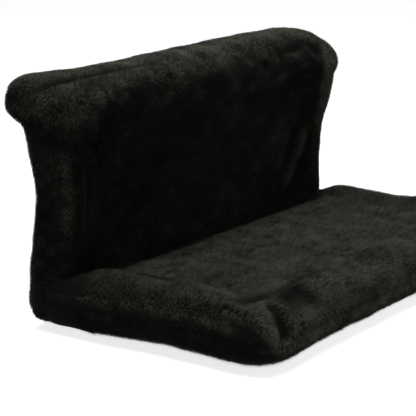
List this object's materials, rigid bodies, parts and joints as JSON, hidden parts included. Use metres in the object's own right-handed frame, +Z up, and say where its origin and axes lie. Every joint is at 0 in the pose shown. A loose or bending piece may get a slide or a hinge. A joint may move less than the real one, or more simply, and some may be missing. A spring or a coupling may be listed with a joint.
{
  "type": "cat radiator hammock",
  "caption": "L-shaped plush bed for a cat on a bent tube frame, hung over the top of a radiator by sliding hooks that a clamp screw holds.",
  "frame": {"origin": "on the surface below the seat, under the middle of the whole part with its hooks at rest", "axes": "+X to the right along the bed's width, +Y to the back, towards the radiator, +Z up; the front faces -Y"},
  "size_m": [0.474, 0.349, 0.232],
  "materials": {
    "plush": "long pile plush, near black",
    "wadding": "white polyester wadding",
    "foam": "open cell foam board",
    "zip_tape": "woven black tape with a coil",
    "frame_paint": "black powder coat",
    "zinc_steel": "zinc plated",
    "rubber": "matt black",
    "black_plastic": "moulded black"
  },
  "bodies": {
    "bed": {"left_frame_tube": "frame_paint", "right_frame_tube": "frame_paint", "top_tube": "frame_paint", "cross_tube": "frame_paint", "seat_tube_left": "frame_paint", "seat_tube_right": "frame_paint", "seat_front_tube": "frame_paint", "frame_screws": "zinc_steel", "cross_tube_plugs": "black_plastic", "hook_guide_left": "frame_paint", "hook_guide_right": "frame_paint", "top_wadding_left": "wadding", "top_wadding_middle": "wadding", "top_wadding_right": "wadding", "back_wadding_left": "wadding", "back_wadding_right": "wadding", "seat_rim_wadding": "wadding", "back_foam": "foam", "seat_foam": "foam", "back_front_cover": "plush", "back_rear_cover": "plush", "top_band_cover": "plush", "seat_top_cover": "plush", "seat_under_cover": "plush", "zip_tape": "zip_tape"},
    "hook_left_body": {"hook_left": "zinc_steel", "hook_sleeve_left": "rubber"},
    "hook_right_body": {"hook_right": "zinc_steel", "hook_sleeve_right": "rubber"},
    "clamp_left_body": {"clamp_screw_left": "black_plastic"},
    "clamp_right_body": {"clamp_screw_right": "black_plastic"},
    "zip_slider_body": {"zip_slider": "zinc_steel"},
    "zip_pull_body": {"zip_pull": "zinc_steel"}
  },
  "joints": [
    {"name": "hook_left_slide", "type": "slide", "parent": "bed", "child": "hook_left_body", "axis": [0, 1, 0], "range_m": [0, 0.03]},
    {"name": "hook_right_slide", "type": "slide", "parent": "bed", "child": "hook_right_body", "axis": [0, 1, 0], "range_m": [0, 0.03]},
    {"name": "clamp_left_turn", "type": "hinge", "parent": "bed", "child": "clamp_left_body", "pos_m": [-0.095, 0.087, 0.206], "axis": [0, 0, 1], "continuous": true},
    {"name": "clamp_right_turn", "type": "hinge", "parent": "bed", "child": "clamp_right_body", "pos_m": [0.095, 0.087, 0.206], "axis": [0, 0, 1], "continuous": true},
    {"name": "zip_slide", "type": "slide", "parent": "bed", "child": "zip_slider_body", "axis": [1, 0, 0], "range_m": [0, 0.29]},
    {"name": "zip_pull_turn", "type": "hinge", "parent": "zip_slider_body", "child": "zip_pull_body", "pos_m": [-0.1453, 0.0962, 0.158], "axis": [0, 0, 1], "range_deg": [0, 170]}
  ]
}
